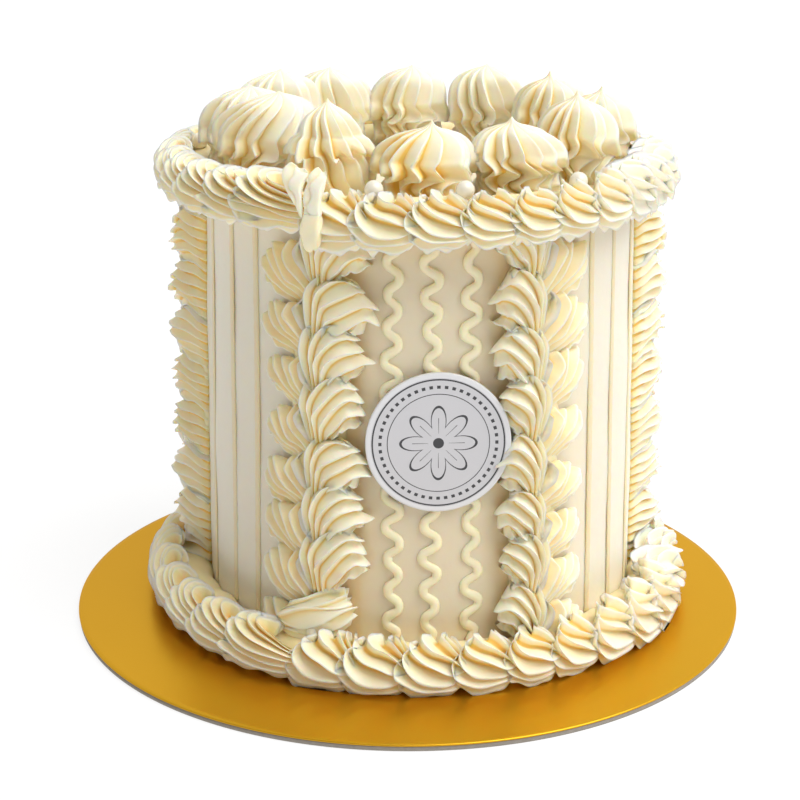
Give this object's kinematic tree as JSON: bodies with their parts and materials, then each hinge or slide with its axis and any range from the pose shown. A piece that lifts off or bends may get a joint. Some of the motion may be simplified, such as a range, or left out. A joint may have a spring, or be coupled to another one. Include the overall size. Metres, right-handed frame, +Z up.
{
  "type": "celebration cake",
  "caption": "Tall round layer cake masked in cream buttercream, with piped garlands up the wall, shell borders, kisses and pearls on top, a plain round label and a round gold card.",
  "frame": {"origin": "the middle of the gold card's underside, which rests on the table", "axes": "+Z up, -Y towards the front with the label, +X to the right as seen from the front"},
  "size_m": [0.254, 0.254, 0.1978],
  "materials": {
    "buttercream": "soft satin cream, whiter on the piped crests",
    "panel_cream": "smooth spread cream",
    "gold_card": "satin gold foil on card",
    "label_grey": "smooth light grey card"
  },
  "bodies": {
    "root": {"cake_board": "gold_card", "cake_body": "panel_cream", "column_1": "buttercream", "column_2": "buttercream", "column_3": "buttercream", "column_4": "buttercream", "column_5": "buttercream", "column_6": "buttercream", "top_border": "buttercream", "base_border": "buttercream", "kiss_01": "buttercream", "kiss_02": "buttercream", "kiss_03": "buttercream", "kiss_04": "buttercream", "kiss_05": "buttercream", "kiss_06": "buttercream", "kiss_07": "buttercream", "kiss_08": "buttercream", "kiss_09": "buttercream", "kiss_10": "buttercream", "kiss_11": "buttercream", "kiss_12": "buttercream", "front_label": "label_grey"}
  },
  "joints": []
}
